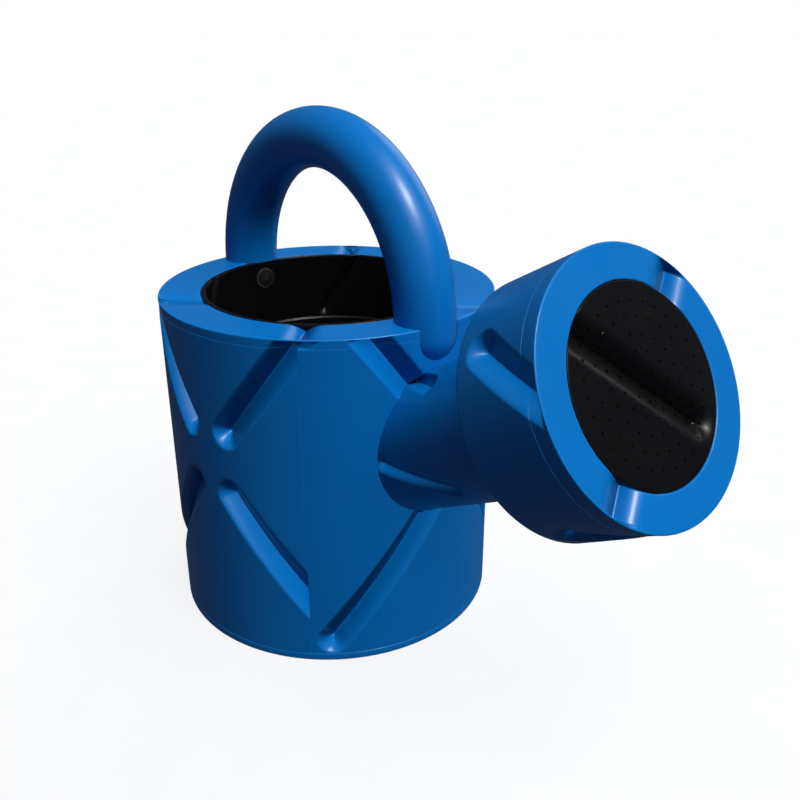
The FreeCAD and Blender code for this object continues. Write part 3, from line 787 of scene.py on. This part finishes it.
def product(tree, first, second):
    node = tree.nodes.new("ShaderNodeMath")
    node.operation = "MULTIPLY"
    tree.links.new(first, node.inputs[0])
    tree.links.new(second, node.inputs[1])
    return node.outputs[0]


def bump(tree, shader, height, strength, distance, over=None):
    """Fine relief on the surface, laid over another bump where one is given."""
    node = tree.nodes.new("ShaderNodeBump")
    node.inputs["Strength"].default_value = strength
    node.inputs["Distance"].default_value = distance * MM
    tree.links.new(height, node.inputs["Height"])
    tree.links.new(node.outputs["Normal"], shader.inputs["Normal"])
    if over:
        tree.links.new(over.outputs["Normal"], node.inputs["Normal"])
    return node


def moulded(name, colour, deep, worn, gloss, specular):
    """Moulded plastic: slight colour drift, faint orange peel, handling marks and rubbed edges."""
    item, tree, shader, place = material(name)
    drift = ramp(tree, noise(tree, place, 60, 2), 0.0, 1.0)
    base = mixed(tree, drift, colour, deep)
    edge = tree.nodes.new("ShaderNodeAttribute")
    edge.attribute_name = "rubbed"
    patches = ramp(tree, noise(tree, place, 9, 4, 0.6), 0.0, 1.0, 0.42, 0.7)
    wear = product(tree, edge.outputs["Fac"], patches)
    tree.links.new(mixed(tree, wear, base, worn), shader.inputs["Base Color"])
    smears = ramp(tree, noise(tree, place, 35, 5, 0.62), gloss[0], gloss[1])
    tree.links.new(smears, shader.inputs["Roughness"])
    shader.inputs["IOR"].default_value = 1.48
    shader.inputs["Specular IOR Level"].default_value = specular
    groove = tree.nodes.new("ShaderNodeAttribute")
    groove.attribute_name = "sunk"
    pressed = bump(tree, shader, groove.outputs["Fac"], 1.0, CRISPNESS)
    pressed.invert = True
    bump(tree, shader, noise(tree, place, 2.2, 2), 0.12, 0.05, pressed)
    return item


def rubber_material():
    """Matt black rubber with a fine grain."""
    item, tree, shader, place = material("rubber")
    base = mixed(tree, ramp(tree, noise(tree, place, 4, 4), 0, 1), (0.012, 0.012, 0.012), (0.03, 0.03, 0.03))
    tree.links.new(base, shader.inputs["Base Color"])
    tree.links.new(ramp(tree, noise(tree, place, 2, 4), 0.6, 0.85), shader.inputs["Roughness"])
    bump(tree, shader, noise(tree, place, 0.6, 3), 0.3, 0.05)
    return item


def metal(name, colour, dark, gloss):
    """Turned metal with fine tool marks round its axis and slight tarnish."""
    item, tree, shader, place = material(name)
    base = mixed(tree, ramp(tree, noise(tree, place, 3, 4), 0, 1), colour, dark)
    tree.links.new(base, shader.inputs["Base Color"])
    shader.inputs["Metallic"].default_value = 1.0
    lines = noise(tree, place, 0.5, 2, 0.5, (1, 1, 12))
    tree.links.new(ramp(tree, lines, gloss[0], gloss[1]), shader.inputs["Roughness"])
    bump(tree, shader, lines, 0.15, 0.02)
    return item


def rub_edges(piece):
    """Store how convex the surface is at each point, for the wear in the material."""
    mesh = piece.data
    count = len(mesh.vertices)
    place = np.zeros(count * 3)
    mesh.vertices.foreach_get("co", place)
    place = place.reshape(-1, 3) / MM
    normal = np.zeros(count * 3)
    mesh.vertices.foreach_get("normal", normal)
    normal = normal.reshape(-1, 3)
    edges = np.zeros(len(mesh.edges) * 2, int)
    mesh.edges.foreach_get("vertices", edges)
    first, second = edges.reshape(-1, 2).T
    gap = place[second] - place[first]
    length = np.maximum(np.linalg.norm(gap, axis=1), 1e-4)
    bend = np.zeros(count)
    number = np.zeros(count)
    for here, sign in ((first, -1), (second, 1)):
        np.add.at(bend, here, sign * np.einsum("ij,ij->i", gap, normal[here]) / length ** 2)
        np.add.at(number, here, 1)
    convex = np.clip(bend / np.maximum(number, 1) * 2 / FULL_WEAR, 0, 1)
    store(piece, "rubbed", convex)


def finish_piece(piece, node, look):
    """Material, wear and the CAD node the piece stands for."""
    rub_edges(piece)
    piece.data.materials.clear()
    piece.data.materials.append(look)
    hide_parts(node)


def dress(node, look):
    """Give a carried-over CAD node its material."""
    item = frame["nodes"][node]
    if not item.material_slots:
        item.data.materials.append(look)
    for place in item.material_slots:
        place.link = "OBJECT"
        place.material = look


# ---- stage: floor, lights and camera

def floor_material():
    """Pale matt floor with a glow of its own, which keeps the shadow light."""
    item, tree, shader, place = material("floor")
    tone = mixed(tree, ramp(tree, noise(tree, place, 40, 3), 0, 1), (0.43, 0.43, 0.43), (0.44, 0.44, 0.44))
    tree.links.new(tone, shader.inputs["Base Color"])
    shader.inputs["Roughness"].default_value = 0.9
    shader.inputs["Specular IOR Level"].default_value = 0.0
    shader.inputs["Emission Color"].default_value = (1, 1, 1, 1)
    shader.inputs["Emission Strength"].default_value = 0.46
    return item


def backdrop_material():
    """Plain white that needs no light."""
    item, _, shader, _ = material("backdrop")
    shader.inputs["Base Color"].default_value = (0, 0, 0, 1)
    shader.inputs["Specular IOR Level"].default_value = 0.0
    shader.inputs["Emission Color"].default_value = (1, 1, 1, 1)
    shader.inputs["Emission Strength"].default_value = 1.0
    return item


def stage_piece(name, points, faces, look):
    """Part of the stage: seen by the camera, but throwing no light or reflection back on the object."""
    mesh = bpy.data.meshes.new(name)
    mesh.from_pydata(points, [], faces)
    mesh.polygons.foreach_set("use_smooth", [True] * len(mesh.polygons))
    mesh.materials.append(look)
    piece = bpy.data.objects.new(name, mesh)
    bpy.context.scene.collection.objects.link(piece)
    piece.visible_diffuse = False
    piece.visible_glossy = False
    piece.visible_shadow = False


def make_stage():
    """Round flat floor that meets a wide upright backdrop, the same on every side."""
    reach = 20.0
    sides = 64
    turns = np.linspace(0, 2 * math.pi, sides, endpoint=False)
    rim = [(reach * math.cos(turn), reach * math.sin(turn)) for turn in turns]
    stage_piece("floor", [(x, y, 0.0) for x, y in rim], [list(range(sides))], floor_material())
    walls = [(x, y, 0.0) for x, y in rim] + [(x, y, reach) for x, y in rim]
    faces = [(k, (k + 1) % sides, (k + 1) % sides + sides, k + sides) for k in range(sides)]
    stage_piece("backdrop", walls, faces, backdrop_material())


CAMERA_PLACE = Vector((0.4237, -0.3001, 0.3488))
CAMERA_TARGET = Vector((0.0279, 0.0331, 0.1242))
LENS = 39.8
KEY_SIDE = (0.5, 0.05, 0.86)
BACK_SIDE = (-0.25, 0.85, 0.4)
SKY_COLOUR = (0.62, 0.73, 1, 1)
SKY_LOW = 0.08
SKY_HIGH = 0.17


def aim(item, place, target):
    """Put a camera or a light at a place, looking at a target."""
    item.location = place
    item.rotation_euler = (target - place).to_track_quat("-Z", "Y").to_euler()
    bpy.context.scene.collection.objects.link(item)


def make_camera():
    """Camera at the photograph's viewing angle."""
    data = bpy.data.cameras.new("camera")
    data.sensor_width = 36
    data.lens = LENS
    data.clip_start = 0.01
    camera = bpy.data.objects.new("camera", data)
    aim(camera, CAMERA_PLACE, CAMERA_TARGET)
    bpy.context.scene.camera = camera


def sun(name, towards, strength, spread, shadow=True):
    """Distant light from a direction, 'spread' degrees wide."""
    data = bpy.data.lights.new(name, "SUN")
    data.energy = strength
    data.angle = math.radians(spread)
    data.use_shadow = shadow
    aim(bpy.data.objects.new(name, data), Vector(towards), Vector((0, 0, 0)))


def make_lights():
    """Dim blue surroundings, a strong key from the spout's side and a weak light from behind."""
    world = bpy.data.worlds.new("world")
    world.use_nodes = True
    tree = world.node_tree
    direction = tree.nodes.new("ShaderNodeTexCoord")
    parts = tree.nodes.new("ShaderNodeSeparateXYZ")
    tree.links.new(direction.outputs["Generated"], parts.inputs["Vector"])
    sky = tree.nodes.new("ShaderNodeMapRange")
    sky.inputs["From Min"].default_value = -0.1
    sky.inputs["From Max"].default_value = 1.0
    sky.inputs["To Min"].default_value = SKY_LOW
    sky.inputs["To Max"].default_value = SKY_HIGH
    tree.links.new(parts.outputs["Z"], sky.inputs["Value"])
    tree.links.new(sky.outputs["Result"], tree.nodes["Background"].inputs["Strength"])
    tree.nodes["Background"].inputs["Color"].default_value = SKY_COLOUR
    bpy.context.scene.world = world
    bpy.context.scene.view_settings.view_transform = "Standard"
    sun("key", KEY_SIDE, 3.0, 16, shadow=False)
    sun("soft_key", KEY_SIDE, 0.9, 60)
    sun("back_light", BACK_SIDE, 0.5, 40)


blue = moulded("blue_plastic", BLUE, BLUE_DEEP, BLUE_WORN, (0.27, 0.36), 0.36)
black = moulded("black_plastic", BLACK, BLACK_DEEP, BLACK_WORN, (0.3, 0.42), 0.2)
black_steel = moulded("black_steel", PAINT, PAINT_DEEP, PAINT_WORN, (0.6, 0.75), 0.2)
rubber = rubber_material()
steel = metal("steel", (0.62, 0.62, 0.6), (0.5, 0.5, 0.48), (0.2, 0.38))
brass = metal("brass", (0.72, 0.5, 0.2), (0.55, 0.38, 0.16), (0.2, 0.38))

LOOKS = {"blue_plastic": blue, "black_plastic": black, "rubber": rubber, "steel": steel,
         "brass": brass, "black_steel": black_steel}
for row in frame["record"]["subparts"]:
    dress(row["node"], LOOKS.get(row["material_slot"], black))

make_base(blue)
make_panels(blue)
make_rim(blue)
make_liner(black)
make_handle(blue)
make_spout(blue)
make_rose(blue)
make_plate(black)
make_stage()
make_camera()
make_lights()
